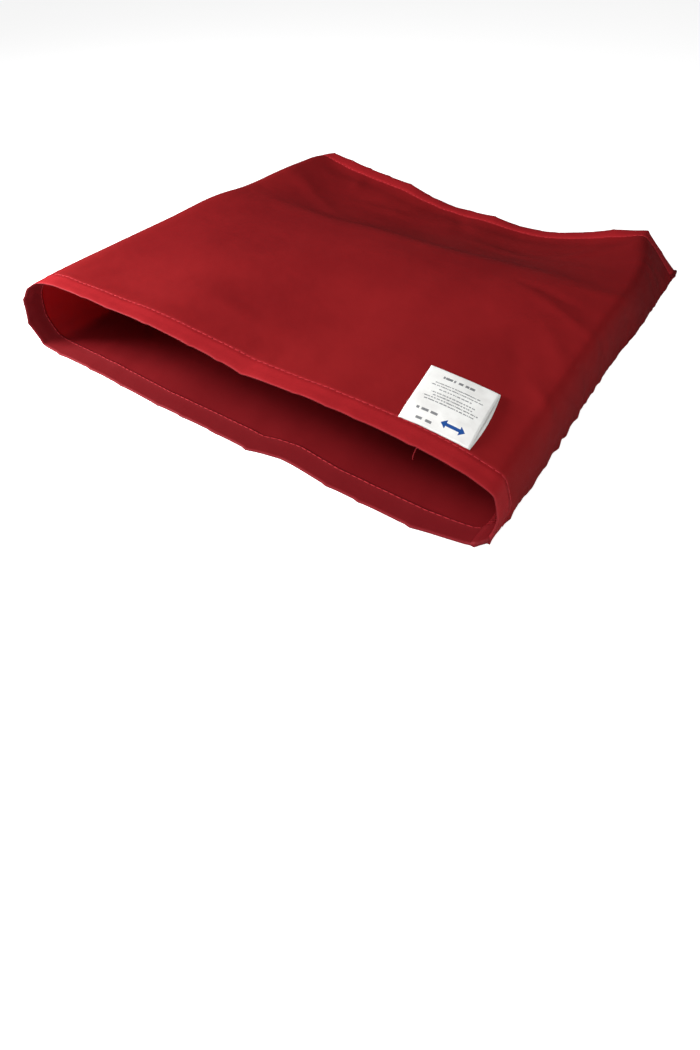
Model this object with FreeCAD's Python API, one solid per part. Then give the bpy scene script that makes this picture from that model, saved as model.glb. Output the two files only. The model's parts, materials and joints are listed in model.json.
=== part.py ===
"""Tubular slide sheet: one thin coated-nylon panel, sewn into a tube that is open at both ends.

Millimetres. X runs across the tube, the way it rolls. Y runs from the front mouth to the rear mouth.
Z is up. The origin is on the surface that the sheet lies on, at the middle of its bounding box.

The tube lies part open. Its girth is fixed, so at each place along Y the taller the tube stands, the
narrower it lies. The cloth is one panel; here it is four walls that lap inside each other, so that the
upper layer can glide over the lower one while the two folds roll along at half its speed.
"""
import FreeCAD, Part
import math
import os

# The sheet.
LAY_FLAT_WIDTH = 490.0   # pressed flat, from the fold to the side seam
SHEET_LENGTH = 450.0     # from mouth to mouth, with the hems turned
WALL = 0.5               # one layer of cloth, as a solid that is stout enough to export
LAYER_GAP = 0.3          # free space between layers that slide over each other
NEST_GAP = 0.15          # between a wall and what is sewn inside it

# How far the tube stands open: outer heights at the front mouth, along the crest, at the rear mouth.
LEFT_HEIGHTS = {"front": 77.0, "crest": 60.0, "rear": 48.0}
SEAM_HEIGHTS = {"front": 55.0, "crest": 57.0, "rear": 30.0}
CREST_TO_REAR = 145.0    # from the crest's rear edge to the rear mouth
CREST_DEPTH = 30.0       # the crest's nearly level strip

# Across the upper layer: the high left part, then the slope down to the seam side.
SHOULDER_START = 100.0   # from the left fold's floor line to the top of the slope
SHOULDER_RUN = 130.0     # the slope, measured level
SEAM_CORNER_TOP = 14.0   # outer radius where the upper layer turns down to the seam
SEAM_CORNER_FLOOR = 5.0  # outer radius at the seam

# The glide of the upper layer, each way, and the laps that let it happen.
GLIDE = 40.0
FOLD_SHARE = 0.5         # a fold rolls at half the speed of the upper layer
LAP_LEFT = 12.0          # lap still closed at the end of the glide
LAP_END_GAP = 2.0        # between a lap's end and the hem beside it, at the end of the glide

# Hems: the edge is turned twice to the inside and sewn through.
HEM_DEPTH = 20.0
HEM_BUILD_UP = 1.0       # the two turned layers, inside the wall
HEM_STITCH_INSET = 18.5  # from the mouth's edge to the row of stitches
THREAD_WIDTH = 0.6
THREAD_HEIGHT = 0.25

# Side seam: both raw edges lie inside, against the floor layer, and are overlocked together.
SEAM_ALLOWANCE = 10.0
SEAM_LAYERS = 1.0        # both edges together
SEAM_STITCH_INSET = 1.5  # from the corner to the row of stitches
OVERLOCK_WIDTH = 4.0
SEAM_TO_HEM = 0.5        # between the hem and the end of the allowance

# Label: a folded tape, both ends caught under the front hem's stitches.
LABEL_WIDTH = 50.0
LABEL_LENGTH = 61.0
LABEL_LEAF = 0.3
LABEL_THICKNESS = 1.8    # both leaves and the space between them
LABEL_FROM_SEAM = 33.0   # from the seam side's wall to the label's near edge
LABEL_ROOT = 4.0         # where both leaves lie pressed together, next to the stitches
ANCHOR_DEPTH = 3.2
ANCHOR_HEIGHT = 0.4
HINGE_BEHIND_STITCH = 3.0
LABEL_THREAD_HEIGHT = 0.2

FRONT_Y = -SHEET_LENGTH / 2
REAR_Y = SHEET_LENGTH / 2
CREST_REAR_Y = REAR_Y - CREST_TO_REAR
CREST_FRONT_Y = CREST_REAR_Y - CREST_DEPTH
STATIONS = [FRONT_Y, CREST_FRONT_Y, CREST_REAR_Y, REAR_Y]

FOLD_GLIDE = GLIDE * FOLD_SHARE
LAP = FOLD_GLIDE + LAP_LEFT
LAP_TO_HEM = LAP + FOLD_GLIDE + LAP_END_GAP
SKIN = WALL + LAYER_GAP  # how far a fold's outer face lies inside the sheet's outer face


# ---------------------------------------------------------------- heights and lines along the sheet

def height_at(heights, y):
    """Outer height at y: straight between the front mouth, the crest and the rear mouth."""
    levels = [heights["front"], heights["crest"], heights["crest"], heights["rear"]]
    for start, end, low, high in zip(STATIONS, STATIONS[1:], levels, levels[1:]):
        if y <= end:
            return low + (high - low) * (y - start) / (end - start)
    return levels[-1]


def left_height(y):
    return height_at(LEFT_HEIGHTS, y)


def seam_height(y):
    return height_at(SEAM_HEIGHTS, y)


def floor_run(y):
    """Width from the left fold's floor line to the seam side's wall, from the girth that is left."""
    rounds = SEAM_CORNER_TOP + SEAM_CORNER_FLOOR
    left_fold = math.pi * left_height(y) / 2
    seam_side = seam_height(y) - rounds + math.pi * rounds / 2
    slope = math.hypot(SHOULDER_RUN, left_height(y) - seam_height(y)) - SHOULDER_RUN
    return (2 * LAY_FLAT_WIDTH - left_fold - seam_side - slope + rounds) / 2


def width_at(y):
    return left_height(y) / 2 + floor_run(y)


OUTER_LEFT = -max(width_at(y) for y in STATIONS) / 2


def left_line(y):
    """X where the left fold leaves the floor, and where it meets the upper layer."""
    return OUTER_LEFT + left_height(y) / 2


def seam_line(y):
    """X of the seam side's outer face."""
    return left_line(y) + floor_run(y)


def floor_corner(y):
    """X where the seam side's small corner leaves the floor."""
    return seam_line(y) - SEAM_CORNER_FLOOR


# ---------------------------------------------------------------- cross-sections, each a closed wire

def line(a, b):
    return Part.LineSegment(a, b).toShape()


def arc(a, middle, b):
    return Part.Arc(a, middle, b).toShape()


def closed(outer, inner):
    """Wire round a band whose two long sides run the same way."""
    start = line(inner[0].firstVertex().Point, outer[0].firstVertex().Point)
    end = line(outer[-1].lastVertex().Point, inner[-1].lastVertex().Point)
    return Part.Wire(outer + [end] + inner[::-1] + [start])


def upper_side(y, inset, depth):
    """Line across the upper layer, a depth below its outer face: level, sloping down, level."""
    high = left_height(y) - depth
    low = seam_height(y) - depth
    slope_start = left_line(y) + SHOULDER_START
    slope_end = slope_start + SHOULDER_RUN
    half = SHOULDER_RUN / 2
    slope = Part.BezierCurve()
    slope.setPoles([FreeCAD.Vector(slope_start, y, high), FreeCAD.Vector(slope_start + half, y, high),
                    FreeCAD.Vector(slope_end - half, y, low), FreeCAD.Vector(slope_end, y, low)])
    left = FreeCAD.Vector(left_line(y) + inset, y, high)
    right = FreeCAD.Vector(seam_line(y) - SEAM_CORNER_TOP - inset, y, low)
    return [line(left, slope.StartPoint), slope.toShape(), line(slope.EndPoint, right)]


def upper_section(y, inset, shallow, deep):
    return closed(upper_side(y, inset, shallow), upper_side(y, inset, deep))


def left_side(y, inset):
    """Line round the left fold: lower lap, half circle, upper lap."""
    radius = left_height(y) / 2 - inset
    middle = left_height(y) / 2
    x = left_line(y)
    floor_point = FreeCAD.Vector(x, y, middle - radius)
    outermost = FreeCAD.Vector(x - radius, y, middle)
    top_point = FreeCAD.Vector(x, y, middle + radius)
    lap = FreeCAD.Vector(LAP, 0, 0)
    return [line(floor_point + lap, floor_point), arc(floor_point, outermost, top_point),
            line(top_point, top_point + lap)]


def left_section(y, outside, inside):
    return closed(left_side(y, outside), left_side(y, inside))


def seam_side(y, inset):
    """Line round the seam side: lower lap, small corner, wall, wide corner, upper lap."""
    wall = seam_line(y) - inset
    top = seam_height(y) - inset
    floor_radius = SEAM_CORNER_FLOOR - inset
    top_radius = SEAM_CORNER_TOP - inset
    diagonal = math.sqrt(0.5)
    floor_point = FreeCAD.Vector(wall - floor_radius, y, inset)
    wall_foot = FreeCAD.Vector(wall, y, inset + floor_radius)
    floor_middle = FreeCAD.Vector(wall - floor_radius * (1 - diagonal), y,
                                  inset + floor_radius * (1 - diagonal))
    wall_head = FreeCAD.Vector(wall, y, top - top_radius)
    top_point = FreeCAD.Vector(wall - top_radius, y, top)
    top_middle = FreeCAD.Vector(wall - top_radius * (1 - diagonal), y, top - top_radius * (1 - diagonal))
    lap = FreeCAD.Vector(LAP, 0, 0)
    return [line(floor_point - lap, floor_point), arc(floor_point, floor_middle, wall_foot),
            line(wall_foot, wall_head), arc(wall_head, top_middle, top_point),
            line(top_point, top_point - lap)]


def seam_section(y, outside, inside):
    return closed(seam_side(y, outside), seam_side(y, inside))


# ---------------------------------------------------------------- solids

def places_between(start, end):
    """Y of both ends, and of each station between them."""
    return [start] + [y for y in STATIONS if start < y < end] + [end]


def along(section, start, end, *sizes):
    """Solid through the cross-sections from one Y to another, straight from station to station."""
    return Part.makeLoft([section(y, *sizes) for y in places_between(start, end)], True, True)


def plate(start, end, left_edge, right_edge, low, high):
    """Level plate between two edges, each given as X at a Y."""
    places = places_between(start, end)
    corners = [FreeCAD.Vector(left_edge(y), y, low) for y in places]
    corners += [FreeCAD.Vector(right_edge(y), y, low) for y in reversed(places)]
    return Part.Face(Part.makePolygon(corners + corners[:1])).extrude(FreeCAD.Vector(0, 0, high - low))


def floor_plate(start, end, inset, low, high):
    """Plate on the lower layer, inset alike from its left edge and its seam-side edge."""
    return plate(start, end, lambda y: left_line(y) + inset, lambda y: floor_corner(y) - inset, low, high)


def walls():
    """The one panel of cloth, as its lower layer, upper layer and two folds."""
    return {
        "lower_panel": floor_plate(FRONT_Y, REAR_Y, 0, 0, WALL),
        "upper_panel": along(upper_section, FRONT_Y, REAR_Y, 0, 0, WALL),
        "left_fold": along(left_section, FRONT_Y, REAR_Y, SKIN, SKIN + WALL),
        "right_fold": along(seam_section, FRONT_Y, REAR_Y, SKIN, SKIN + WALL),
    }


def lining(start, end, depth, thickness):
    """Four pieces that line the walls over one stretch of Y, at a depth inside their outer faces."""
    inner = depth + thickness
    return {
        "lower": floor_plate(start, end, LAP_TO_HEM, depth, inner),
        "upper": along(upper_section, start, end, LAP_TO_HEM, depth, inner),
        "left": along(left_section, start, end, SKIN + depth, SKIN + inner),
        "right": along(seam_section, start, end, SKIN + depth, SKIN + inner),
    }


def hems():
    """A turned hem and its row of stitches round each mouth."""
    pieces = {}
    hem_depth = WALL + NEST_GAP
    thread_depth = hem_depth + HEM_BUILD_UP + NEST_GAP
    for mouth, edge, inward in (("front", FRONT_Y, 1), ("rear", REAR_Y, -1)):
        fold_end = edge + inward * HEM_DEPTH
        row = edge + inward * HEM_STITCH_INSET
        hem = lining(min(edge, fold_end), max(edge, fold_end), hem_depth, HEM_BUILD_UP)
        thread = lining(row - THREAD_WIDTH / 2, row + THREAD_WIDTH / 2, thread_depth, THREAD_HEIGHT)
        for side in hem:
            pieces[mouth + "_hem_" + side] = hem[side]
            pieces[mouth + "_hem_stitching_" + side] = thread[side]
    return pieces


def seam_strip(far, near, low, high):
    """Strip along the inside of the seam, between two distances from its corner."""
    start = FRONT_Y + HEM_DEPTH + SEAM_TO_HEM
    end = REAR_Y - HEM_DEPTH - SEAM_TO_HEM
    return plate(start, end, lambda y: floor_corner(y) - far, lambda y: floor_corner(y) - near, low, high)


def side_seam():
    """The joined raw edges, the row of stitches that closes the tube, and the overlock on the edges."""
    floor = SKIN + WALL + NEST_GAP
    top = floor + SEAM_LAYERS
    thread = top + NEST_GAP
    stitch_far = SEAM_STITCH_INSET + THREAD_WIDTH
    return {
        "side_seam_allowance": seam_strip(SEAM_ALLOWANCE, 0, floor, top),
        "side_seam_stitching": seam_strip(stitch_far, SEAM_STITCH_INSET, thread, thread + THREAD_HEIGHT),
        "side_seam_overlock": seam_strip(SEAM_ALLOWANCE, SEAM_ALLOWANCE - OVERLOCK_WIDTH, thread,
                                         thread + THREAD_HEIGHT),
    }


def label_strip(y, low, high):
    """Band across the label's width, on top of the upper layer."""
    right = seam_line(FRONT_Y) - LABEL_FROM_SEAM
    top = seam_height(y)
    sides = [[line(FreeCAD.Vector(right - LABEL_WIDTH, y, top + rise), FreeCAD.Vector(right, y, top + rise))]
             for rise in (high, low)]
    return closed(*sides)


def loop_outline(x, y, z, length, radius):
    """Flat loop seen from the side: half circle at the hinge, two leaves, half circle at the far end."""
    points = {name: FreeCAD.Vector(x, y + dy, z + dz) for name, dy, dz in (
        ("low_near", 0, -radius), ("low_far", length, -radius), ("far", length + radius, 0),
        ("high_far", length, radius), ("high_near", 0, radius), ("near", -radius, 0))}
    edges = [line(points["low_near"], points["low_far"]),
             arc(points["low_far"], points["far"], points["high_far"]),
             line(points["high_far"], points["high_near"]),
             arc(points["high_near"], points["near"], points["low_near"])]
    return Part.Wire(edges)


def label():
    """The tape's sewn ends, the thread over them, and the loop that lifts about the sewn line."""
    row = FRONT_Y + HEM_STITCH_INSET
    hinge_y = row + HINGE_BEHIND_STITCH
    radius = LABEL_THICKNESS / 2
    anchor_end = hinge_y - radius - LAYER_GAP
    hinge_z = seam_height(hinge_y) + LAYER_GAP + radius
    left = seam_line(FRONT_Y) - LABEL_FROM_SEAM - LABEL_WIDTH
    straight = LABEL_LENGTH - 2 * radius
    outer = loop_outline(left, hinge_y, hinge_z, straight, radius)
    inner = loop_outline(left, hinge_y + LABEL_ROOT, hinge_z, straight - LABEL_ROOT, radius - LABEL_LEAF)
    flap = Part.Face([outer, inner]).extrude(FreeCAD.Vector(LABEL_WIDTH, 0, 0))
    rise = seam_height(CREST_FRONT_Y) - seam_height(FRONT_Y)
    slope = math.degrees(math.atan2(rise, CREST_FRONT_Y - FRONT_Y))
    flap.rotate(FreeCAD.Vector(left, hinge_y, hinge_z), FreeCAD.Vector(1, 0, 0), slope)
    half_thread = THREAD_WIDTH / 2
    thread = ANCHOR_HEIGHT + NEST_GAP
    return {
        "label_anchor": along(label_strip, anchor_end - ANCHOR_DEPTH, anchor_end, 0, ANCHOR_HEIGHT),
        "label_stitching": along(label_strip, row - half_thread, row + half_thread, thread,
                                 thread + LABEL_THREAD_HEIGHT),
        "label_flap": flap,
    }


def main():
    os.makedirs("parts", exist_ok=True)
    for pieces in (walls(), hems(), side_seam(), label()):
        for name, shape in pieces.items():
            shape.exportStep("parts/" + name + ".step")


main()
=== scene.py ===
"""Tubular slide sheet: the looks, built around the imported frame.

The cloth is one panel, cut flat, wrapped round into a tube, closed by a side seam and hemmed at both
mouths. Its settled form is worked out first, as a surface that can be read at any place of the flat
panel. Everything that is sewn to the cloth (hems, stitches, seam and label) is then laid on that surface.
Lengths in the classes are millimetres unless a name ends in _m.
"""
import json
import logging
import math
from collections.abc import Callable
from dataclasses import dataclass, field
from enum import Enum

import bmesh
import bpy
import numpy as np
from mathutils import Matrix, Vector

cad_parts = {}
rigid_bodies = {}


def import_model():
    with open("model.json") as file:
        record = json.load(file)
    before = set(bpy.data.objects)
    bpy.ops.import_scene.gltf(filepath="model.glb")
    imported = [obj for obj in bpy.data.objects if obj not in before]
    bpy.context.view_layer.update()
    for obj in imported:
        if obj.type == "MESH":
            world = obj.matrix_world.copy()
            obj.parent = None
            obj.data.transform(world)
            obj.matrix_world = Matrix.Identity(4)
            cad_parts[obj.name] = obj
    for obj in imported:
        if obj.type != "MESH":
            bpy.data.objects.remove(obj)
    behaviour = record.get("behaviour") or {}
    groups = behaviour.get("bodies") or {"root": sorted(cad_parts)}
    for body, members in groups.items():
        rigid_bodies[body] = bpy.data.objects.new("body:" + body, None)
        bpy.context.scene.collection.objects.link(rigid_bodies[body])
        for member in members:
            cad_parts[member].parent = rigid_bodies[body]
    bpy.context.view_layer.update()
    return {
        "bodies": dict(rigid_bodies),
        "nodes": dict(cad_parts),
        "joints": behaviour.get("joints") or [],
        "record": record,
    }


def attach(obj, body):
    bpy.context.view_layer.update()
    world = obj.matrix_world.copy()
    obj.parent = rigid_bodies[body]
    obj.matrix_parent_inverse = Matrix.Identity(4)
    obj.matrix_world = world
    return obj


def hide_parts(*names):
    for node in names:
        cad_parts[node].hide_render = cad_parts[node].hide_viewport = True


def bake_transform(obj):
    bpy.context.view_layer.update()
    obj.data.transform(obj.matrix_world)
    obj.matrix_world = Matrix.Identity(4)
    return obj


log = logging.getLogger("slide_sheet")
MM = 0.001
Array = np.ndarray
SIDES = ("lower", "upper", "left", "right")        # the four walls that share a hem's nodes


class Mouth(Enum):
    """The two open ends of the tube, as their nodes are named."""
    FRONT = "front"
    REAR = "rear"


# ---------------------------------------------------------------- numbers along a line

def smooth_through(knots: Array, values: Array, places: Array) -> Array:
    """A smooth curve through values given at knots.

    Args:
        knots: rising places, one for each value.
        values: what the curve passes through, first axis along the knots.
        places: where the curve is read.

    Returns:
        The curve's values, first axis along the places.
    """
    knots, values = np.asarray(knots, float), np.asarray(values, float)
    slopes = np.gradient(values, knots, axis=0)
    cell = np.clip(np.searchsorted(knots, places, side="right") - 1, 0, len(knots) - 2)
    width = knots[cell + 1] - knots[cell]
    t = np.clip((places - knots[cell]) / width, 0, 1)
    shape = (-1,) + (1,) * (values.ndim - 1)
    t, width = t.reshape(shape), width.reshape(shape)
    start, end = values[cell], values[cell + 1]
    return (start * (1 + 2 * t) * (1 - t) ** 2 + slopes[cell] * width * t * (1 - t) ** 2
            + end * t * t * (3 - 2 * t) - slopes[cell + 1] * width * t * t * (1 - t))


def bezier(points: list[tuple[float, float]], steps: int) -> Array:
    """Points along a cubic curve with four control points, without the last one."""
    t = np.linspace(0, 1, steps, endpoint=False)[:, None]
    a, b, c, d = np.asarray(points, float)
    return a * (1 - t) ** 3 + 3 * b * t * (1 - t) ** 2 + 3 * c * t * t * (1 - t) + d * t ** 3


def bump_at(places: Array, centre: float, width: float) -> Array:
    """A round bump, 1 at its centre and nearly 0 two widths away."""
    return np.exp(-((places - centre) / width) ** 2)


def ease(values: Array) -> Array:
    """Turns 0 to 1 into a smooth step."""
    t = np.clip(values, 0, 1)
    return t * t * (3 - 2 * t)


# ---------------------------------------------------------------- the form of the tube

@dataclass(frozen=True)
class Section:
    """A cross-section of the lying tube.

    heights are those of the upper layer at even shares from the left shoulder to the seam-side shoulder.
    """
    share: float               # place along the sheet, 0 at the front mouth and 1 at the rear mouth
    floor_left: float
    bulge: float               # how far left the fold reaches
    shoulder_left: float
    shoulder_right: float
    seam: float                # where the seam lies on the floor
    lean: float                # how far the seam-side wall stands out past the seam
    fullness: float            # 1 for a rounded seam-side wall, 0 for a straight one
    corner: float              # 1 where the left shoulder is a sharp corner, 0 where it is round
    heights: tuple[float, ...]


@dataclass
class TubeForm:
    """The form of the lying tube, as sections, and the lines that its two mouths follow."""
    girth: float = 980.0
    length: float = 450.0
    floor: float = 0.25        # middle of the lowest layer of cloth
    sections: tuple[Section, ...] = (
        Section(0.00, -204, -234, -194, 202.5, 206, 6, 0.7, 1.0, (74, 73, 72.5, 66, 60.5, 60.5, 56.5, 43.5)),
        Section(0.12, -206, -232, -195, 202, 211.5, 4, 0.95, 0.5, (72.5, 71, 70, 65, 60, 60, 57.5, 46)),
        Section(0.28, -207, -230, -199, 205, 215, 3, 0.95, 0.1, (69.5, 68.5, 66, 62.5, 59.5, 59, 57, 49)),
        Section(0.55, -209, -229, -202, 211, 222, 1, 0.95, 0.0, (65.5, 61, 59, 58.5, 58, 58, 57.5, 51)),
        Section(0.60, -209, -229, -202, 212, 224, 0, 0.95, 0.0, (63.5, 58.5, 56, 55.5, 55, 55, 55, 50.5)),
        Section(0.66, -210, -229, -203, 213, 227.5, 0, 0.9, 0.0, (61.5, 52, 47, 45.5, 45, 45, 47.5, 48)),
        Section(0.80, -211, -229, -204, 211, 232, -2, 0.6, 0.1, (58.5, 43, 34, 27, 25.5, 25, 32, 44)),
        Section(1.00, -212, -228, -205, 196, 238, -3, 0.1, 0.6, (55, 43.5, 35, 20.5, 17, 12, 23, 42)),
    )

    def loop(self, section: Section, count: int) -> Array:
        """Points evenly spaced round a section, from the seam, up the wall, over and back to the seam.

        Args:
            section: the cross-section.
            count: how many points.

        Returns:
            Each point's x and z in millimetres.
        """
        heights = np.array(section.heights)
        top_right, top_left = heights[-1], heights[0]
        shares = np.linspace(0, 1, len(heights))
        across = np.linspace(1, 0, 120, endpoint=False)
        low, high = np.array([section.seam, self.floor]), np.array([section.shoulder_right, top_right])
        full_low = np.array([section.seam + section.lean * 4 / 3, top_right * 0.55])
        full_high = np.array([high[0] + 0.75 * (low[0] - high[0]), top_right - 3])
        wall = bezier([low, full_low * section.fullness + (low * 2 + high) / 3 * (1 - section.fullness),
                       full_high * section.fullness + (low + high * 2) / 3 * (1 - section.fullness), high], 60)
        x = section.shoulder_left + (section.shoulder_right - section.shoulder_left) * across
        top = np.stack([x, smooth_through(shares, heights, across)], 1)
        far = (8 * section.bulge - section.shoulder_left - section.floor_left) / 6
        round_one = np.array([far, top_left - 1])
        sharp_one = np.array([section.shoulder_left * 0.08 + far * 0.92, top_left - 10])
        fold = bezier([(section.shoulder_left, top_left),
                       round_one * (1 - section.corner) + sharp_one * section.corner,
                       (far, self.floor + 1), (section.floor_left, self.floor)], 80)
        run = np.linspace(section.floor_left, section.seam, 120)
        floor = np.stack([run, np.full_like(run, self.floor)], 1)
        points = np.concatenate([wall, top, fold, floor])
        walked = np.concatenate([[0], np.cumsum(np.linalg.norm(np.diff(points, axis=0), axis=1))])
        even = np.linspace(0, walked[-1], count)
        return np.stack([np.interp(even, walked, points[:, k]) for k in (0, 1)], 1)

    def front_line(self, loop: Array) -> Array:
        """Y of the front mouth's edge round its section; the floor layer lies a little further out."""
        x, z = loop.T
        edge = -220.5                  # of the upper layer
        reach = np.interp(x, [-205, -139, -79, 10, 21, 31, 51, 75, 86, 152, 178, 193, 199, 206],
                          [-220, -223, -228, -231, -232.5, -229, -227, -231, -232.5, -235.5, -237, -235.5,
                           -228.5, -221])
        on_floor = ease((12 - z) / 12)
        return edge + (reach - edge) * on_floor

    def rear_line(self, loop: Array) -> Array:
        """Y of the rear mouth's edge; its left corner lies furthest back."""
        x = loop[:, 0]
        return np.interp(x, [-230, -195, -150, 0, 110, 200, 240], [240, 231, 226, 224, 222, 223, 225])

    def surface(self, columns: int, rows: int) -> Array:
        """Places of the cloth on an even mesh of the finished panel, columns by rows by three."""
        loops = np.stack([self.loop(s, columns) for s in self.sections])
        shares = np.array([s.share for s in self.sections])
        along = np.linspace(0, 1, rows)
        cross = smooth_through(shares, loops, along)
        front, rear = self.front_line(loops[0]), self.rear_line(loops[-1])
        y = front[None, :] + (rear - front)[None, :] * along[:, None]
        return np.stack([cross[..., 0], y, cross[..., 1]], 2).transpose(1, 0, 2)


# ---------------------------------------------------------------- small folds and puckers

@dataclass(frozen=True)
class Ridge:
    """One soft fold of the upper layer, by its middle, turn, half length, half width and height."""
    u: float
    v: float
    turn_deg: float
    length: float
    width: float
    height: float

    def heights(self, u: Array, v: Array) -> Array:
        """Its height over the flat panel."""
        turn = math.radians(self.turn_deg)
        along = (u - self.u) * math.cos(turn) + (v - self.v) * math.sin(turn)
        across = (v - self.v) * math.cos(turn) - (u - self.u) * math.sin(turn)
        return self.height * bump_at(along, 0, self.length) * bump_at(across, 0, self.width)


@dataclass
class Creases:
    """The small folds of the settled cloth, as heights above its smooth form."""
    form: TubeForm
    seam_depth: float = 1.2
    seam_reach: float = 16.0
    drag_depth: float = 0.45
    drag_reach: float = 32.0
    hem_depth: float = 0.8
    hem_reach: float = 30.0
    ridges: tuple[Ridge, ...] = (
        Ridge(78, 205, 25, 36, 7, 1.2), Ridge(94, 186, -38, 28, 6, 1.1), Ridge(104, 232, 12, 32, 7, -1.0),
        Ridge(70, 160, 55, 24, 7, 1.1), Ridge(88, 128, 68, 28, 8, -0.9), Ridge(76, 262, -22, 32, 8, 1.1),
        Ridge(120, 150, -60, 40, 10, 1.0), Ridge(52, 96, 40, 24, 6, 1.1), Ridge(300, 60, 8, 60, 11, 0.8),
        Ridge(360, 34, -6, 50, 9, -0.8), Ridge(228, 26, 74, 20, 5, -0.7), Ridge(205, 34, 60, 20, 6, 0.5),
        Ridge(400, 330, 30, 60, 12, 1.2), Ridge(330, 372, -18, 48, 10, 1.1), Ridge(180, 350, 14, 60, 12, 1.0),
        Ridge(110, 380, -40, 40, 10, 1.4), Ridge(250, 405, 66, 30, 8, -1.1), Ridge(390, 408, 75, 26, 7, 1.1),
    )

    def ripple(self, places: Array, pitch: float, key: float) -> Array:
        """An uneven row of waves, about a pitch long each."""
        turn = 2 * math.pi / pitch
        drift = 0.9 * np.sin(places * turn * 0.23 + key) + 0.6 * np.sin(places * turn * 0.11 + 2 * key)
        size = 0.62 + 0.38 * np.sin(places * turn * 0.17 + 3 * key)
        return np.sin(places * turn + drift * 2 + key) * size

    def gathers(self, v: Array) -> Array:
        """How the seam's thread gathers the cloth along it: uneven hollows that meet in small points."""
        rng = np.random.default_rng(5)
        meets = np.cumsum(np.concatenate([[-9.0], rng.uniform(15, 40, 24)]))
        sizes = rng.uniform(0.45, 1.0, 26)
        span = np.clip(np.searchsorted(meets, v, side="right") - 1, 0, len(meets) - 2)
        share = (v - meets[span]) / (meets[span + 1] - meets[span])
        hollow = np.sin(math.pi * np.clip(share, 0, 1)) ** 0.8
        return (0.45 - hollow) * sizes[span] + 0.22 * self.ripple(v, 11.0, 1.3)

    def seam_puckers(self, u: Array, v: Array) -> Array:
        """Puckers on both sides of the seam, and longer drags that fade up the wall."""
        girth = self.form.girth
        away = np.minimum(u, girth - u)
        floor_side = np.where(u > girth / 2, 0.5, 1.0)
        near = np.exp(-away / self.seam_reach) * self.gathers(v)
        drag = np.exp(-((away - 22) / self.drag_reach) ** 2) * self.ripple(v + 0.35 * away, 31.0, 0.7)
        return floor_side * (self.seam_depth * near + self.drag_depth * drag)

    def hem_waves(self, u: Array, v: Array) -> Array:
        """Shallow waves across both hems, where the stitches hold the cloth a little short."""
        back = self.form.length - v
        front = np.exp(-v / self.hem_reach) * self.ripple(u + 0.3 * v, 36.0, 0.4)
        rear = np.exp(-back / self.hem_reach) * self.ripple(u - 0.4 * back, 38.0, 2.1)
        fine = (bump_at(v, 19, 6) * self.ripple(u, 11.0, 0.9)
                + bump_at(back, 19, 6) * self.ripple(u, 12.0, 1.9))
        return self.hem_depth * (front + 1.5 * rear) + 0.25 * fine

    def rolls(self, u: Array, v: Array) -> Array:
        """Long soft unevenness of the whole layer."""
        waves = ((160, 20, 0.3), (118, 75, 1.9), (92, -38, 4.0), (134, 132, 2.6), (74, 52, 5.1))
        total = np.zeros_like(u)
        for pitch, turn_deg, key in waves:
            turn = math.radians(turn_deg)
            total += np.sin((u * math.cos(turn) + v * math.sin(turn)) * 2 * math.pi / pitch + key) * pitch / 260
        return 0.55 * total

    def heights(self, u: Array, v: Array) -> Array:
        """All small folds together."""
        folds = sum(ridge.heights(u, v) for ridge in self.ridges)
        return self.seam_puckers(u, v) + self.hem_waves(u, v) + self.rolls(u, v) + folds


@dataclass
class HemRuns:
    """Turned hems are stiff: they settle in short straight runs, with a small tip where two runs meet."""
    form: TubeForm
    reach: float = 34.0        # how far from the mouth the runs still show
    straight: float = 0.85
    tip: float = 1.2
    run: float = 34.0
    wall: float = 43.0         # height of the seam-side wall, where the first long run starts
    seed: int = 11

    def meets(self) -> Array:
        """Where the runs meet, round the tube: close together on the fold, further apart on the layers."""
        rng = np.random.default_rng(self.seed)
        places = [0.0, self.wall / 2, self.wall]
        while places[-1] < self.form.girth - 50:
            on_fold = 425 < places[-1] < 560
            places.append(places[-1] + (21 if on_fold else self.run) * rng.uniform(0.7, 1.35))
        return np.array(places + [self.form.girth])

    def settle(self, places: Array, u: Array, inwards: Array, outward: int) -> Array:
        """Straightens the hem between its meets.

        Args:
            places: the cloth's mesh, columns by rows by three.
            u: millimetres round the tube, by column.
            inwards: millimetres from the mouth, by row.
            outward: -1 where the mouth faces the front and 1 where it faces the rear.

        Returns:
            The cloth's mesh with its stiff hem.
        """
        meets = self.meets()
        columns = np.rint(meets / self.form.girth * (len(u) - 1)).astype(int)
        span = np.clip(np.searchsorted(columns, np.arange(len(u)), side="right") - 1, 0, len(columns) - 2)
        first, last = columns[span], columns[span + 1]
        t = ((np.arange(len(u)) - first) / (last - first))[:, None, None]
        runs = places[first] * (1 - t) + places[last] * t
        share = (self.straight * ease(1 - inwards / self.reach))[None, :, None]
        settled = places * (1 - share) + runs * share
        away = (u - u[first])[:, None]
        tips = self.tip * np.exp(-away / 5) - 0.35 * self.tip
        settled[..., 1] += outward * tips * np.exp(-inwards / 10)[None, :]
        return settled


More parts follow.
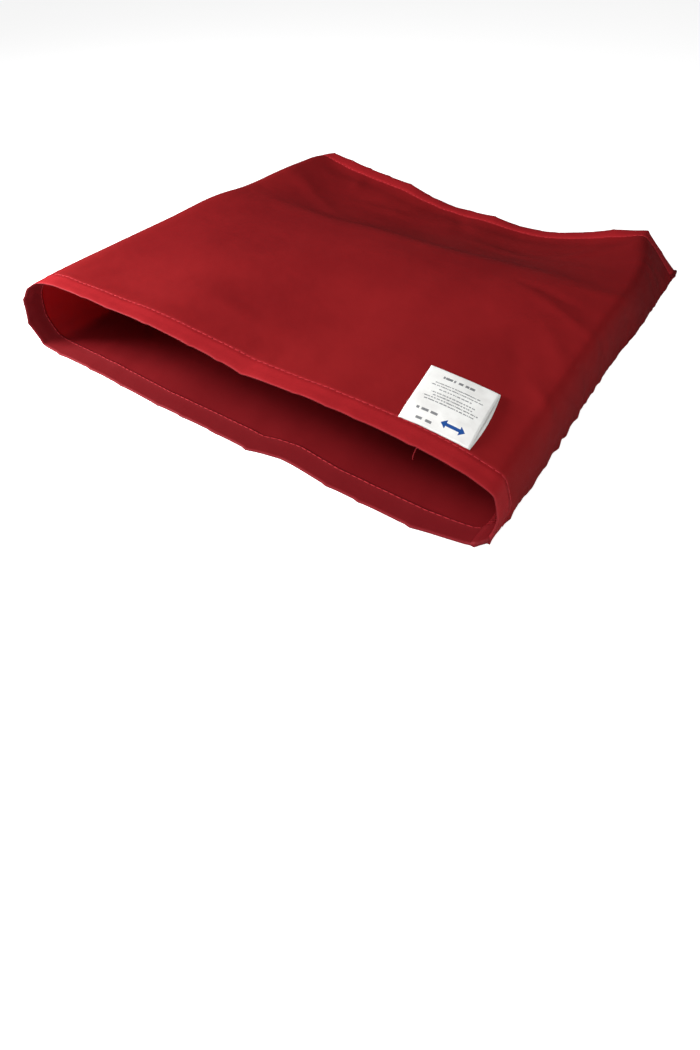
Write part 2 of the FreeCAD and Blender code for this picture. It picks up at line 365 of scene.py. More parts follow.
@dataclass
class Settling:
    """Lets spare cloth buckle by itself, by Blender's cloth simulation on a coarser mesh of the tube.

    Its rest shape is the flat panel, cut a little too large. Hems, seam and the label's place hold still, and
    the rest is held softly.
    """
    form: TubeForm
    step: tuple[int, int] = (2, 3)     # mesh columns and rows for one of the simulation's
    frames: int = 24
    spare: float = 0.014               # how much too large the cloth is cut
    hold: float = 0.08                 # how softly it is held, 0 free and 1 fixed
    limit: float = 4.5                 # the furthest that a place may move
    scale: float = 0.01                # millimetres to the simulation's metres, ten times life size

    def held(self, u: Array, v: Array) -> Array:
        """Where cloth is held, 0 to 1: firmly at hems, seam, floor and under the label."""
        mouths = ease((26 - np.minimum(v, self.form.length - v)) / 8)
        seam = ease((34 - u) / 14)
        floor = ease((u - 500) / 40)
        label = bump_at(u, 78, 34) ** 0.5 * ease((88 - v) / 20)
        return np.clip(np.maximum.reduce([mouths, seam, floor, label]), self.hold, 1.0)

    def sheet(self, places: Array, u: Array, v: Array) -> tuple[bpy.types.Object, Array]:
        """A coarse mesh of the cloth, in place, with its flat rest shape and how firmly it is held.

        Args:
            places: where the coarse mesh lies, columns by rows by three.
            u: millimetres round the tube of each of its places.
            v: millimetres from the front mouth of each of its places.

        Returns:
            The cloth, and the column and row of each of its vertices.
        """
        bm = bmesh.new()
        columns, rows = places.shape[0] - 1, places.shape[1] - 1
        bmesh.ops.create_grid(bm, x_segments=columns, y_segments=rows, size=0.5)
        mesh = bpy.data.meshes.new("settling_cloth")
        bm.to_mesh(mesh)
        bm.free()
        flat = np.zeros(len(mesh.vertices) * 3)
        mesh.vertices.foreach_get("co", flat)
        cells = np.rint((flat.reshape(-1, 3)[:, :2] + 0.5) * (columns, rows)).astype(int)
        mesh.vertices.foreach_set("co", (places[cells[:, 0], cells[:, 1]] * self.scale).ravel())
        cloth = bpy.data.objects.new("settling_cloth", mesh)
        bpy.context.scene.collection.objects.link(cloth)
        group = cloth.vertex_groups.new(name="held")
        for index, weight in enumerate(self.held(u, v)[cells[:, 0], cells[:, 1]]):
            group.add([index], float(weight), "REPLACE")
        cloth.shape_key_add(name="in_place")
        cut = np.stack([u, v, np.zeros_like(u)], -1)[cells[:, 0], cells[:, 1]] * (1 + self.spare) * self.scale
        cloth.shape_key_add(name="cut_flat").data.foreach_set("co", cut.ravel())
        return cloth, cells

    def calmed(self, moved: Array, rounds: int = 10) -> Array:
        """The moves with their finest ripples averaged away, as a stiff coated cloth has none."""
        for _ in range(rounds):
            for axis in (0, 1):
                padded = np.pad(moved, [(1, 1) if a == axis else (0, 0) for a in range(3)], mode="edge")
                before, after = (np.take(padded, range(k, k + moved.shape[axis]), axis) for k in (0, 2))
                moved = 0.5 * moved + 0.25 * (before + after)
        return moved

    def settle(self, places: Array, across: Array, along: Array) -> Array:
        """Runs the simulation on a coarser mesh.

        Args:
            places: the cloth's fine mesh, columns by rows by three.
            across: millimetres round the tube, by column.
            along: millimetres from the front mouth, by row.

        Returns:
            How far each place of the fine mesh moves, in millimetres.
        """
        a, b = across[::self.step[0]], along[::self.step[1]]
        coarse = places[::self.step[0], ::self.step[1]]
        u, v = np.meshgrid(a, b, indexing="ij")
        cloth, cells = self.sheet(coarse, u, v)
        modifier = cloth.modifiers.new("settle", "CLOTH")
        cloth_settings = {"quality": 6, "mass": 0.05, "tension_stiffness": 40, "compression_stiffness": 40,
                          "shear_stiffness": 15, "bending_stiffness": 6.0, "vertex_group_mass": "held",
                          "rest_shape_key": cloth.data.shape_keys.key_blocks["cut_flat"]}
        for name, value in cloth_settings.items():
            setattr(modifier.settings, name, value)
        modifier.settings.effector_weights.gravity = 0.0       # the tube keeps the form it was left in
        modifier.collision_settings.use_collision = False
        for frame in range(1, self.frames + 1):
            bpy.context.scene.frame_set(frame)
        settled = cloth.evaluated_get(bpy.context.evaluated_depsgraph_get()).to_mesh()
        flat = np.zeros(len(settled.vertices) * 3)
        settled.vertices.foreach_get("co", flat)
        moved = np.zeros_like(coarse)
        moved[cells[:, 0], cells[:, 1]] = flat.reshape(-1, 3) / self.scale
        moved -= coarse
        bpy.context.scene.frame_set(1)
        mesh = cloth.data
        bpy.data.objects.remove(cloth)
        bpy.data.meshes.remove(mesh)
        size = np.linalg.norm(moved, axis=2, keepdims=True)
        log.info("settling moved the cloth %.2f mm at most, %.2f mm on average", size.max(), size.mean())
        moved *= np.minimum(1, self.limit / np.maximum(size, 1e-6))
        moved = self.calmed(moved)
        finer = smooth_through(a, moved, across)
        return smooth_through(b, finer.transpose(1, 0, 2), along).transpose(1, 0, 2)


@dataclass
class ClothSurface:
    """The settled cloth: a surface that is read at any place of the flat, finished panel."""
    form: TubeForm
    columns: int = 393
    rows: int = 226            # with the columns, a whole number of the simulation's steps and one more
    places: Array = field(init=False)
    inward: Array = field(init=False)

    def __post_init__(self) -> None:
        self.places = self.form.surface(self.columns, self.rows)
        self.find_inward()
        creases, front = Creases(self.form), HemRuns(self.form)
        rear = HemRuns(self.form, run=26.0, tip=1.8, wall=56.0, seed=4)
        across = np.linspace(0, self.form.girth, self.columns)
        along = np.linspace(0, self.form.length, self.rows)
        u, v = np.meshgrid(across, along, indexing="ij")
        self.places = self.places - self.inward * creases.heights(u, v)[..., None]
        near_seam = np.exp(-np.minimum(u, self.form.girth - u) / 9)
        self.places[..., 0] += near_seam * creases.gathers(v)
        self.dip_front_edge(v)
        self.lift_rear_edge(v)
        self.places = front.settle(self.places, across, along, -1)
        self.places = rear.settle(self.places, across, self.form.length - along, 1)
        self.places = self.places + Settling(self.form).settle(self.places, across, along)
        self.keep_off_floor()
        self.find_inward()

    def dip_front_edge(self, v: Array, x: float = 12.0, depth: float = 2.8) -> None:
        """A small pointed dip of the upper hem, just past the middle of the front mouth."""
        upper = ease((self.places[..., 2] - 30) / 10)
        near = np.exp(-np.abs(self.places[..., 0] - x) / 9) * np.exp(-v / 14) * upper
        self.places[..., 2] -= depth * near
        self.places[..., 1] -= 0.6 * depth * near

    def keep_off_floor(self) -> None:
        """Nothing lies under the floor's surface."""
        self.places[..., 2] = np.maximum(self.places[..., 2], self.form.floor)

    def find_inward(self) -> None:
        """Directions into the tube, from the surface's own slopes."""
        du = np.gradient(self.places, axis=0)
        wrap = self.places[1] - self.places[0] + self.places[-1] - self.places[-2]
        du[0] = du[0] * 0.999 + wrap * 0.001
        dv = np.gradient(self.places, axis=1)
        normal = np.cross(du, dv)
        self.inward = normal / np.linalg.norm(normal, axis=2, keepdims=True)

    def read(self, grid: Array, u: Array, v: Array) -> Array:
        """Values of a grid at places of the flat panel, straight between its points.

        Args:
            grid: columns by rows by three, as the cloth's places are.
            u: millimetres round the tube from the seam.
            v: millimetres from the front mouth.

        Returns:
            The grid's values there.
        """
        i = np.clip(u / self.form.girth, 0, 1) * (self.columns - 1)
        j = np.clip(v / self.form.length, 0, 1) * (self.rows - 1)
        i0 = np.clip(i.astype(int), 0, self.columns - 2)
        j0 = np.clip(j.astype(int), 0, self.rows - 2)
        a, b = (i - i0)[..., None], (j - j0)[..., None]
        return ((grid[i0, j0] * (1 - a) + grid[i0 + 1, j0] * a) * (1 - b)
                + (grid[i0, j0 + 1] * (1 - a) + grid[i0 + 1, j0 + 1] * a) * b)

    def lift_rear_edge(self, v: Array, height: float = 2.2) -> None:
        """The stiff rear hem of the upper layer stands up a little from the slope before it."""
        upper = ease((self.places[..., 2] - 8) / 8) * ease((200 - np.abs(self.places[..., 0])) / 30)
        back = ease((v - self.form.length + 22) / 16)
        hollow = bump_at(v, self.form.length - 30, 14)
        self.places[..., 2] += upper * (height * back - 0.7 * height * hollow)

    def top_height(self, x: Array, y: Array) -> Array:
        """Height of the upper layer over places of the floor, all in millimetres."""
        upper = self.places[self.inward[..., 2] < -0.6]
        reach = ((x[..., None] - upper[:, 0]) ** 2 + (y[..., None] - upper[:, 1]) ** 2)
        nearest = np.argpartition(reach, 6, axis=-1)[..., :6]
        weight = 1 / (np.take_along_axis(reach, nearest, -1) + 0.05)
        return (upper[:, 2][nearest] * weight).sum(-1) / weight.sum(-1)

    def at(self, u: Array, v: Array, lift: Array) -> Array:
        """Places at a height inside the cloth, in metres. A negative lift is outside it.

        Args:
            u: millimetres round the tube from the seam.
            v: millimetres from the front mouth.
            lift: millimetres into the tube from the middle of the cloth.

        Returns:
            One place for each u, v and lift.
        """
        u, v, lift = np.broadcast_arrays(*(np.asarray(a, float) for a in (u, v, lift)))
        normal = self.read(self.inward, u, v)
        normal = normal / np.linalg.norm(normal, axis=-1, keepdims=True)
        place = self.read(self.places, u, v) + normal * lift[..., None]
        place[..., 2] = np.maximum(place[..., 2], self.form.floor)
        return place * MM


# ---------------------------------------------------------------- shader nodes

class Scalar:
    """A number in a shader: wraps a socket, so that sums are written as sums."""

    def __init__(self, book: "NodeBook", socket: bpy.types.NodeSocket) -> None:
        self.book = book
        self.socket = socket

    def math(self, operation: str, *others: "Scalar | float") -> "Scalar":
        """A Math node of this number and the others."""
        values = {i: other for i, other in enumerate((self,) + others)}
        return self.book.number("ShaderNodeMath", {"operation": operation}, values)

    def __add__(self, other: "Scalar | float") -> "Scalar":
        return self.math("ADD", other)

    __radd__ = __add__

    def __mul__(self, other: "Scalar | float") -> "Scalar":
        return self.math("MULTIPLY", other)

    __rmul__ = __mul__

    def __sub__(self, other: "Scalar | float") -> "Scalar":
        return self.math("SUBTRACT", other)

    def __rsub__(self, other: float) -> "Scalar":
        return (self * -1.0) + other

    def __gt__(self, other: "Scalar | float") -> "Scalar":
        return self.math("GREATER_THAN", other)

    def __lt__(self, other: "Scalar | float") -> "Scalar":
        return self.math("LESS_THAN", other)

    def sine(self) -> "Scalar":
        """Its sine."""
        return self.math("SINE")

    def size(self) -> "Scalar":
        """Its size without its sign."""
        return self.math("ABSOLUTE")

    def step(self, start: float, end: float) -> "Scalar":
        """A smooth step from 0 at start to 1 at end."""
        values = {"Value": self, "From Min": start, "From Max": end}
        return self.book.number("ShaderNodeMapRange", {"interpolation_type": "SMOOTHSTEP"}, values)


class NodeBook:
    """The node tree of one material, with its Principled shader."""

    def __init__(self, name: str, fixed: dict[str, float]) -> None:
        self.material = bpy.data.materials.new(name)
        self.material.use_nodes = True
        self.tree = self.material.node_tree
        self.shader = self.tree.nodes["Principled BSDF"]
        for socket, value in fixed.items():
            self.shader.inputs[socket].default_value = value

    def node(self, kind: str, settings: dict, values: dict) -> bpy.types.Node:
        """A node with its settings, then the values or links of its sockets."""
        node = self.tree.nodes.new(kind)
        for name, value in settings.items():
            setattr(node, name, value)
        for key, value in values.items():
            self.feed(node.inputs[key], value)
        return node

    def feed(self, socket: bpy.types.NodeSocket, value: object) -> None:
        """Links a socket, or sets its value."""
        source = value.socket if isinstance(value, Scalar) else value
        if isinstance(source, bpy.types.NodeSocket):
            self.tree.links.new(source, socket)
        else:
            socket.default_value = source

    def number(self, kind: str, settings: dict, values: dict, out: "int | str" = 0) -> Scalar:
        """A node's output as a number."""
        return Scalar(self, self.node(kind, settings, values).outputs[out])

    def noise(self, place: bpy.types.NodeSocket, scale: float, detail: float = 3.0) -> Scalar:
        """Soft noise about a place, 0 to 1."""
        values = {"Vector": place, "Scale": scale, "Detail": detail, "Roughness": 0.55}
        return self.number("ShaderNodeTexNoise", {}, values, "Fac")

    def flat_place(self) -> tuple[Scalar, Scalar]:
        """Metres across and along the flat cloth, from the piece's own UV map."""
        uv = self.node("ShaderNodeUVMap", {"uv_map": "flat"}, {})
        parts = self.node("ShaderNodeSeparateXYZ", {}, {0: uv.outputs[0]})
        return Scalar(self, parts.outputs[0]), Scalar(self, parts.outputs[1])

    def object_place(self) -> bpy.types.NodeSocket:
        """Object coordinates."""
        return self.node("ShaderNodeTexCoord", {}, {}).outputs["Object"]

    def mix(self, share: "Scalar | float", first: object, second: object) -> bpy.types.NodeSocket:
        """A colour between two."""
        node = self.node("ShaderNodeMix", {"data_type": "RGBA"}, {})
        self.feed(node.inputs[0], share)
        self.feed(node.inputs[6], first)
        self.feed(node.inputs[7], second)
        return node.outputs[2]

    def finish_with(self, shader: bpy.types.NodeSocket) -> None:
        """Sends a shader to the material's output."""
        output = next(node for node in self.tree.nodes if node.type == "OUTPUT_MATERIAL")
        self.tree.links.new(shader, output.inputs["Surface"])

    def bump(self, layers: list[tuple["Scalar", float]], strength: float = 1.0) -> None:
        """Bumps, each a height from 0 to 1 and its real depth in metres, into the shader's normal."""
        normal = None
        for height, depth in layers:
            values = {"Height": height, "Distance": depth, "Strength": strength}
            if normal is not None:
                values["Normal"] = normal
            normal = self.node("ShaderNodeBump", {}, values).outputs[0]
        self.feed(self.shader.inputs["Normal"], normal)


Colour = tuple[float, float, float, float]


def tint(red: int, green: int, blue: int) -> Colour:
    """A screen colour, 0 to 255, as the shader's linear colour."""
    linear = [(c / 255 / 12.92) if c <= 10 else ((c / 255 + 0.055) / 1.055) ** 2.4 for c in (red, green, blue)]
    return (*linear, 1.0)


@dataclass(frozen=True)
class CoatedNylon:
    """Thin plain-weave nylon with a slippery coating; each side of the cloth has one of its own, the inner
    side's a darker copy as painted shade for the inside of the tube.
    """
    name: str = "coated_nylon"
    body: Colour = tint(150, 31, 34)
    deep: Colour = tint(134, 25, 29)
    hem: Colour = tint(176, 33, 41)
    # painted shade: the turned-in hem plies inside the mouths are darkened, as they lie in shade under the
    # upper layer
    inside_shade: Colour = tint(98, 18, 23)
    # painted highlight along the rounded fold of each hem
    fold_highlight: Colour = tint(200, 62, 72)
    glow: Colour = tint(220, 60, 60)
    thinness: float = 0.24     # share of light that passes into the thin cloth
    pitch_m: float = 0.00045
    hem_m: float = 0.0185
    length_m: float = 0.450

    def material(self) -> bpy.types.Material:
        """The material, on the panel's flat UV map."""
        book = NodeBook(self.name, {"Specular IOR Level": 0.10, "Sheen Weight": 0.0})
        place = book.object_place()
        across, along = book.flat_place()
        turn = 2 * math.pi / self.pitch_m
        weave = (across * turn).sine() * (along * turn).sine() * 0.5 + 0.5
        clouds = book.noise(place, 7.0)
        slubs = book.noise(place, 900.0, 1.0)
        crinkle = book.noise(place, 85.0, 4.0)
        wide = book.noise(place, 24.0, 2.0)
        from_mouth = (0.5 * self.length_m - (along - 0.5 * self.length_m).size())
        hem = 1.0 - from_mouth.step(self.hem_m - 0.0006, self.hem_m + 0.0006)
        colour = book.mix(clouds.step(0.3, 0.7), self.deep, self.body)
        turned = (along < 0.0).math("MAXIMUM", along > self.length_m)
        colour = book.mix(hem * 0.45, colour, self.hem)
        # painted shade on the turned-in hem plies inside the mouths
        colour = book.mix(turned * 0.85, colour, self.inside_shade)
        # painted highlight: a lighter stripe along each hem's rounded fold, where it catches the light
        from_fold = along.size().math("MINIMUM", (along - self.length_m).size())
        colour = book.mix((1.0 - from_fold.step(0.0006, 0.0022)) * 0.18, colour, self.fold_highlight)
        colour = book.mix(slubs * 0.10, colour, self.deep)
        book.feed(book.shader.inputs["Base Color"], colour)
        book.feed(book.shader.inputs["Roughness"], 0.44 + clouds * 0.10 + slubs * 0.08)
        book.bump([(wide, 0.0012), (crinkle, 0.0003), (weave, 0.00003)])
        through = book.node("ShaderNodeBsdfTranslucent", {}, {"Color": self.glow})
        both = book.node("ShaderNodeMixShader", {}, {0: (1.0 - hem * 0.7) * self.thinness,
                                                     1: book.shader.outputs[0], 2: through.outputs[0]})
        book.finish_with(both.outputs[0])
        return book.material


@dataclass(frozen=True)
class SewingThread:
    """Spun thread with a twist."""
    light: Colour = tint(196, 60, 68)
    dark: Colour = tint(170, 38, 46)
    name: str = "sewing_thread"

    def material(self) -> bpy.types.Material:
        """The material, on object coordinates."""
        book = NodeBook(self.name, {"Roughness": 0.6, "Specular IOR Level": 0.15})
        place = book.object_place()
        fibres = book.noise(place, 2600.0, 2.0)
        shade = book.noise(place, 160.0, 1.0)
        colour = book.mix(fibres.step(0.35, 0.7), self.dark, self.light)
        book.feed(book.shader.inputs["Base Color"], book.mix(shade * 0.3, colour, self.dark))
        book.bump([(fibres, 0.0001)])
        return book.material


@dataclass(frozen=True)
class SatinTape:
    """White woven tape with a plain generic print: a two-way arrow and rows of grey dashes."""
    white: Colour = tint(250, 250, 247)
    shade: Colour = tint(235, 234, 231)
    ink: Colour = tint(70, 74, 82)
    blue: Colour = tint(24, 76, 150)
    total_m: float = 0.1249    # the tape's whole length, cut flat
    rib_m: float = 0.0005
    rows: tuple[tuple[float, float, float, float], ...] = (     # line, half height, start and end, in metres
        (0.0085, 0.0011, 0.010, 0.021), (0.0165, 0.0011, 0.007, 0.022), (0.0270, 0.0005, 0.008, 0.043),
        (0.0298, 0.0005, 0.006, 0.045), (0.0326, 0.0005, 0.012, 0.040), (0.0354, 0.0005, 0.010, 0.041),
        (0.0395, 0.0005, 0.014, 0.037), (0.0430, 0.0005, 0.007, 0.044), (0.0458, 0.0005, 0.009, 0.041),
        (0.0535, 0.0013, 0.012, 0.036))

    def box(self, x: Scalar, y: Scalar, low: tuple[float, float], high: tuple[float, float]) -> Scalar:
        """1 inside a rectangle of the tape, between its low and its high corner."""
        return (x > low[0]) * (x < high[0]) * (y > low[1]) * (y < high[1])

    def dashes(self, book: NodeBook, x: Scalar, y: Scalar, row: tuple[float, float, float, float]) -> Scalar:
        """One printed row of dashes of uneven length.

        Args:
            book: the tape's node tree.
            x: metres across the tape.
            y: metres along it, from its sewn end.
            row: the row's line, half height, start and end, in metres.

        Returns:
            1 on a dash and 0 beside it.
        """
        line, size, start, end = row
        seat = book.node("ShaderNodeCombineXYZ", {}, {0: x, 1: line * 40}).outputs[0]
        gaps = book.number("ShaderNodeTexNoise", {"noise_dimensions": "2D"},
                           {"Vector": seat, "Scale": 0.5 / size, "Detail": 0.0}, "Fac")
        return (gaps > 0.42) * self.box(x, y, (start, line - size), (end, line + size))

    def arrow(self, x: Scalar, y: Scalar, middle: tuple[float, float], half: float) -> Scalar:
        """A plain arrow that points both ways along the tape's width."""
        dx, dy = (x - middle[0]).size(), (y - middle[1]).size()
        shaft = (dx < half * 0.62) * (dy < half * 0.16)
        head = (dx > half * 0.55) * ((dx + dy) < half)
        return shaft.math("MAXIMUM", head)

    def material(self) -> bpy.types.Material:
        """The material, on the tape's flat UV map."""
        book = NodeBook("satin_tape", {"Specular IOR Level": 0.35})
        x, walked = book.flat_place()
        y = self.total_m - walked
        place = book.object_place()
        ribs = (y * (2 * math.pi / self.rib_m)).sine() * 0.5 + 0.5
        clouds = book.noise(place, 60.0)
        colour = book.mix(clouds.step(0.35, 0.75), self.white, self.shade)
        rows = self.dashes(book, x, y, self.rows[0])
        for row in self.rows[1:]:
            rows = rows.math("MAXIMUM", self.dashes(book, x, y, row))
        colour = book.mix(rows * 0.8, colour, self.ink)
        colour = book.mix(self.arrow(x, y, (0.0345, 0.0125), 0.0085), colour, self.blue)
        book.feed(book.shader.inputs["Base Color"], colour)
        book.feed(book.shader.inputs["Roughness"], 0.42 + clouds * 0.12)
        book.bump([(ribs, 0.00003)])
        return book.material


# ---------------------------------------------------------------- meshes

def add_piece(name: str, bm: bmesh.types.BMesh, material: bpy.types.Material) -> bpy.types.Object:
    """Makes a smooth-shaded object of a bmesh, with one material."""
    mesh = bpy.data.meshes.new(name)
    bm.to_mesh(mesh)
    bm.free()
    mesh.materials.append(material)
    mesh.shade_smooth()
    piece = bpy.data.objects.new(name, mesh)
    bpy.context.scene.collection.objects.link(piece)
    log.info("%s: %d faces", name, len(mesh.polygons))
    return piece


def sheet_from_lines(name: str, across: Array, along: Array, place: Callable[[Array, Array], Array],
                     material: bpy.types.Material, thickness: float) -> bpy.types.Object:
    """A sheet cut flat, then laid out in space.

    Args:
        name: the piece's name.
        across: millimetres of each column of the flat sheet.
        along: millimetres of each row of the flat sheet.
        place: gives places in metres from the columns' and rows' millimetres.
        material: the sheet's finish.
        thickness: the cloth's thickness in millimetres.

    Returns:
        The sheet, with a flat UV map in metres and a Solidify modifier.
    """
    bm = bmesh.new()
    bm.loops.layers.uv.new("flat")
    columns, rows = len(across) - 1, len(along) - 1
    bmesh.ops.create_grid(bm, x_segments=columns, y_segments=rows, size=0.5, calc_uvs=False)
    piece = add_piece(name, bm, material)
    mesh = piece.data
    flat = np.zeros(len(mesh.vertices) * 3)
    mesh.vertices.foreach_get("co", flat)
    flat = flat.reshape(-1, 3) + 0.5
    a = across[np.rint(flat[:, 0] * columns).astype(int)]
    b = along[np.rint(flat[:, 1] * rows).astype(int)]
    mesh.vertices.foreach_set("co", place(a, b).ravel())
    corner = np.zeros(len(mesh.loops), int)
    mesh.loops.foreach_get("vertex_index", corner)
    uv = np.stack([a[corner], b[corner]], 1) * MM
    mesh.uv_layers["flat"].data.foreach_set("uv", uv.ravel())
    mesh.update()
    solid = piece.modifiers.new("cloth_thickness", "SOLIDIFY")
    solid.thickness = thickness * MM
    solid.offset = 0.0
    return piece


@dataclass
class Panel:
    """The one panel of cloth, with its hems turned in and its raw edges inside the seam."""
    cloth: ClothSurface
    thickness: float = 0.22
    hem: float = 18.5
    turn_in: float = 14.0
    ply: float = 0.5
    allowance: float = 10.0
    stitch: float = 17.0
    dent: float = 0.45         # how far the hem's stitches sink the cloth
    roll: float = 0.5          # how far the hem stands out beside its fold and beside its stitches

    def columns(self) -> Array:
        """Millimetres across the flat panel, close together near the seam."""
        girth = self.cloth.form.girth
        edge = np.array([0, 0.35, 0.8, 1.6, 3.0, 5.0, 7.5])
        body = np.linspace(10, girth - 10, 214)
        return np.concatenate([[-self.allowance, -6.5, -3.2, -1.2, -0.5], edge, body,
                               girth - edge[::-1], girth + np.array([0.5, 1.2, 3.2, 6.5, self.allowance])])

    def rows(self) -> Array:
        """Millimetres along the flat panel; rows below 0 and past the length are the turned hems."""
        length = self.cloth.form.length
        turned = -np.concatenate([self.hem + np.array([self.turn_in, 9.0, 3.0, 1.2, 0.6, 0.0]),
                                  np.array([17.9, 17.0, 16.0, 14.0, 10.0, 6.0, 3.0, 1.6, 0.9, 0.45])])
        edge = np.array([0.0, 0.8, 2.0, 4.0, 7.0, 10.0, 13.0, 14.7, 15.6, 16.3, 17.0, 17.7, 18.5, 20.0, 22.0])
        body = np.concatenate([edge, np.linspace(24, length - 24, 144), length - edge[::-1]])
        return np.concatenate([turned, body, length - turned[::-1]])

    def place(self, a: Array, b: Array) -> Array:
        """Where the flat panel's places lie once it is sewn.

        Args:
            a: millimetres across the flat panel; below 0 and past the girth it is seam allowance.
            b: millimetres along the flat panel; below 0 and past the length it is turned in.

        Returns:
            The places in metres.
        """
        form = self.cloth.form
        wall_allowance, floor_allowance = np.maximum(-a, 0), np.maximum(a - form.girth, 0)
        back = wall_allowance + floor_allowance
        u = np.where(back > 0, form.girth - back, a)
        seam_lift = (self.ply * 1.6 * ease(wall_allowance / 1.0) + self.ply * 0.8 * ease(floor_allowance / 0.6))
        from_front = b < form.length / 2
        past = np.where(from_front, np.maximum(-b, 0), np.maximum(b - form.length, 0))
        first = np.minimum(past, self.hem)
        second = np.maximum(past - self.hem, 0)
        inside = np.where(second > 0, self.hem - second, first)
        near_seam = 1 + 2.4 * ease(1 - np.minimum(np.abs(u - form.girth), np.abs(u)) / 12)
        hem_lift = (2 * ease(first / 1.0) - ease(second / 0.8)) * self.ply * near_seam
        bulge = -0.6 * np.sin(np.clip(first / 1.0, 0, 1) * math.pi) * (second == 0)
        v = np.where(past > 0, inside + bulge, np.where(from_front, b, form.length - b))
        v = np.where(from_front, v, form.length - v)
        from_mouth = np.minimum(v, form.length - v)
        dent = self.dent * bump_at(from_mouth, self.stitch, 1.4)
        uneven = 0.6 + 0.4 * np.sin(u * 0.21 + 2 * np.sin(u * 0.047))
        off_floor = ease(self.cloth.read(self.cloth.places, u, v)[..., 2] / 6)
        rolls = bump_at(from_mouth, 3.5, 3.0) + 0.7 * bump_at(from_mouth, 13.5, 2.2)
        roll = -self.roll * off_floor * uneven * rolls
        base = self.cloth.at(u, v, seam_lift + hem_lift + dent + roll)
        out = np.where(from_front, v, form.length - v)
        base[..., 1] += np.where(out < 0, out, 0) * np.where(from_front, 1, -1) * MM
        return base

    def build(self, outside: bpy.types.Material, inside: bpy.types.Material) -> bpy.types.Object:
        """Args:
            outside: the finish of the coated side.
            inside: the finish of the side that faces into the tube, a darker copy of the outside's as painted
                shade.

        Returns:
            The panel.
        """
        across, along = self.columns(), self.rows()
        piece = sheet_from_lines("slide_sheet_panel", across, along, self.place, inside, self.thickness)
        piece.data.materials.append(outside)
        solid = piece.modifiers["cloth_thickness"]
        solid.material_offset = solid.material_offset_rim = 1
        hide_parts("lower_panel", "upper_panel", "left_fold", "right_fold", "side_seam_allowance",
                    *(mouth.value + "_hem_" + side for mouth in Mouth for side in SIDES))
        return piece


def lean_with_layers(piece: bpy.types.Object) -> None:
    """Bakes the piece's transform into its mesh; nothing here makes the cloth between the lower and the upper
    layer lean as the upper layer glides.
    """
    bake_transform(piece)


class StitchedRow:
    """Collects the stitches of one thread: each a short length, thin at the needle holes at its ends."""

    def __init__(self, radius: float) -> None:
        self.radius_m = radius * MM
        self.bm = bmesh.new()
        model = bmesh.new()
        bmesh.ops.create_uvsphere(model, u_segments=6, v_segments=6, radius=1.0,
                                  matrix=Matrix.Rotation(math.pi / 2, 4, "Y"))
        self.model = bpy.data.meshes.new("one_stitch")
        model.to_mesh(self.model)
        model.free()

    def add(self, start: Array, end: Array, normal: Array) -> None:
        """Adds one stitch between two needle holes, all in metres."""
        start, end, normal = Vector(start), Vector(end), Vector(normal)
        along = end - start
        side = normal.cross(along).normalized()
        up = along.cross(side).normalized()
        turn = Matrix((along.normalized(), side, up)).transposed().to_4x4()
        scale = Matrix.Diagonal((along.length * 0.48, self.radius_m, self.radius_m * 0.8, 1.0))
        one = self.model.copy()
        one.transform(Matrix.Translation((start + end) / 2) @ turn @ scale)
        self.bm.from_mesh(one)
        bpy.data.meshes.remove(one)

    def gather(self, name: str, material: bpy.types.Material, nodes: tuple[str, ...]) -> bpy.types.Object:
        """Makes the piece and hides the thread nodes that it stands for."""
        bpy.data.meshes.remove(self.model)
        piece = add_piece(name, self.bm, material)
        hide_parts(*nodes)
        return piece

    def finish(self, name: str, material: bpy.types.Material, nodes: tuple[str, ...]) -> bpy.types.Object:
        """The same, for a thread that runs round the tube, with its transform baked into its mesh."""
        piece = self.gather(name, material, nodes)
        lean_with_layers(piece)
        return piece


@dataclass
class HemStitching:
    """A row of lockstitches round one mouth, seen on both faces of the hem."""
    cloth: ClothSurface
    mouth: Mouth
    inset: float = 17.0
    pitch: float = 5.2
    radius: float = 0.36
    outside: float = -0.25     # how far the outer stitches lie from the middle of the cloth
    inside: float = 1.5

    def build(self, material: bpy.types.Material) -> bpy.types.Object:
        """Makes the row."""
        form = self.cloth.form
        count = round(form.girth / self.pitch)
        v = self.inset if self.mouth is Mouth.FRONT else form.length - self.inset
        holes = np.linspace(0, form.girth, count + 1)
        row = StitchedRow(self.radius)
        normals = self.cloth.read(self.cloth.inward, holes, np.full_like(holes, v))
        for lift in (self.outside, self.inside):
            ends = self.cloth.at(holes, v, lift)
            for start, end, normal in zip(ends, ends[1:], normals):
                row.add(start, end, normal)
        if self.mouth is Mouth.FRONT:
            self.add_loose_end(row)
        name = self.mouth.value + "_hem_stitching"
        return row.finish(name, material, tuple(name + "_" + side for side in SIDES))

    def add_loose_end(self, row: StitchedRow, x: float = 142.0, y: float = -203.0, drop: float = 31.0,
                      steps: int = 16) -> None:
        """The thread's loose end, which hangs from the upper hem inside the mouth.

        Args:
            row: the row of stitches that it belongs to.
            x: millimetres to the right of the middle.
            y: millimetres behind the middle.
            drop: how far it hangs.
            steps: how many pieces its curve has.
        """
        top = self.cloth.top_height(np.array([x]), np.array([y]))[0] - 1.8
        share = np.linspace(0, 1, steps)
        path = np.stack([x + 2.2 * np.sin(share * 4.6), y + 2 * share + 1.2 * np.sin(share * 6),
                         top - drop * share ** 1.15], 1) * MM
        for start, end in zip(path, path[1:]):
            middle = (start + end) / 2
            reach = (end - start) * 0.56
            row.add(middle - reach, middle + reach, np.array([0.2, -1.0, 0.1]))


